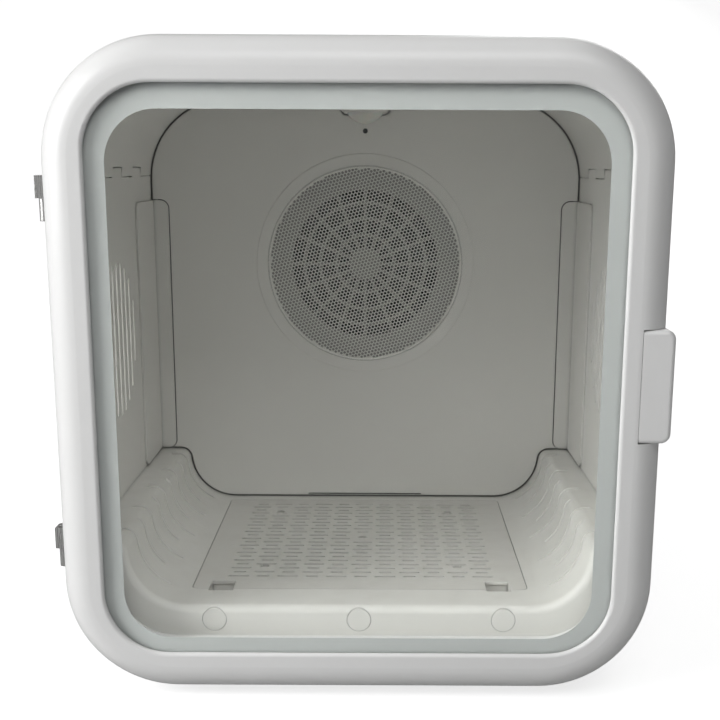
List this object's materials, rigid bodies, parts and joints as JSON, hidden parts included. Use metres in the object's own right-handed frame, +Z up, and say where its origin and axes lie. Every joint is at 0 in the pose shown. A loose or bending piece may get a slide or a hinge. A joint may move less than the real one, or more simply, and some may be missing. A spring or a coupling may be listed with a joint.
{
  "type": "pet drying cabinet",
  "caption": "White round-cornered pet drying cabinet with a glass door, perforated fan disc, side vents and a lift-out slotted floor.",
  "frame": {"origin": "on the standing surface, under the middle of the cabinet", "axes": "+Z up; the door faces -Y; +X to the right seen from the front"},
  "size_m": [0.4528, 0.44, 0.4826],
  "materials": {
    "case_white": "satin white moulded plastic",
    "door_white": "satin white moulded plastic",
    "liner_white": "fine-textured warm white plastic",
    "grille_white": "fine-textured warm white plastic",
    "window_glass": "clear, slightly green, with a frosted edge band",
    "mesh_metal": "powder-coated perforated sheet",
    "guard_plastic": "moulded plastic",
    "hinge_steel": "brushed stainless steel",
    "screw_steel": "zinc-plated steel",
    "dark_rubber": "matt rubber",
    "seal_rubber": "soft light grey rubber",
    "panel_black": "gloss black touch panel",
    "board_green": "circuit board with parts",
    "duct_plastic": "heat-resistant black plastic",
    "fan_plastic": "black moulded plastic",
    "heater_fins": "bare aluminium fins",
    "motor_metal": "painted steel can",
    "inlet_black": "black moulded plastic",
    "pin_brass": "nickel-washed brass",
    "magnet_steel": "plated magnet and steel plate",
    "lamp_milk": "milky translucent plastic",
    "filter_foam": "open-cell foam"
  },
  "bodies": {
    "cabinet": {"upper_shell": "case_white", "lower_shell": "case_white", "rear_cover": "case_white", "left_side_vent": "case_white", "right_side_vent": "case_white", "front_bezel": "case_white", "rear_frame": "duct_plastic", "rear_screws": "screw_steel", "shroud_screws": "screw_steel", "left_vent_duct": "liner_white", "right_vent_duct": "liner_white", "left_wall_liner": "liner_white", "right_wall_liner": "liner_white", "ceiling_liner": "liner_white", "floor_tub": "liner_white", "back_panel": "liner_white", "left_corner_cover": "liner_white", "right_corner_cover": "liner_white", "sill_plugs": "liner_white", "lamp_bracket": "liner_white", "lamp_dome": "lamp_milk", "temperature_probe": "dark_rubber", "fan_mesh": "mesh_metal", "fan_guard": "guard_plastic", "fan_shroud": "duct_plastic", "heater_frame": "duct_plastic", "heater_element": "heater_fins", "motor_mount": "duct_plastic", "fan_motor": "motor_metal", "control_panel": "panel_black", "control_board": "board_green", "power_board": "board_green", "power_inlet": "inlet_black", "inlet_pins": "pin_brass", "rocker_frame": "inlet_black", "feet": "dark_rubber", "door_seal": "seal_rubber", "latch_magnets": "magnet_steel", "case_hinge_screws": "screw_steel", "upper_case_leaf": "hinge_steel", "upper_hinge_pin": "screw_steel", "lower_case_leaf": "hinge_steel", "lower_hinge_pin": "screw_steel"},
    "door": {"door_frame": "door_white", "door_glass": "window_glass", "glass_gasket": "seal_rubber", "door_inner_frame": "door_white", "door_handle": "door_white", "strike_plates": "magnet_steel", "door_hinge_screws": "screw_steel", "upper_door_leaf": "hinge_steel", "lower_door_leaf": "hinge_steel"},
    "fan_rotor": {"fan_impeller": "fan_plastic", "motor_shaft": "screw_steel"},
    "floor_panel": {"floor_grille": "grille_white", "hair_tray": "grille_white"},
    "rear_filter": {"filter_cover": "case_white", "filter_pad": "filter_foam"},
    "mains_rocker": {"power_rocker": "inlet_black"}
  },
  "joints": [
    {"name": "door_swing", "type": "hinge", "parent": "cabinet", "child": "door", "pos_m": [-0.2246, -0.182, 0.242], "axis": [0, 0, -1], "range_deg": [0, 165]},
    {"name": "fan_spin", "type": "hinge", "parent": "cabinet", "child": "fan_rotor", "pos_m": [0, 0.163, 0.3005], "axis": [0, 1, 0], "continuous": true},
    {"name": "floor_lift", "type": "slide", "parent": "cabinet", "child": "floor_panel", "axis": [0, 0, 1], "range_m": [0, 0.06]},
    {"name": "filter_pull", "type": "slide", "parent": "cabinet", "child": "rear_filter", "axis": [0, 1, 0], "range_m": [0, 0.04]},
    {"name": "rocker_tilt", "type": "hinge", "parent": "cabinet", "child": "mains_rocker", "pos_m": [0.078, 0.214, 0.053], "axis": [1, 0, 0], "range_deg": [-16, 0]}
  ]
}
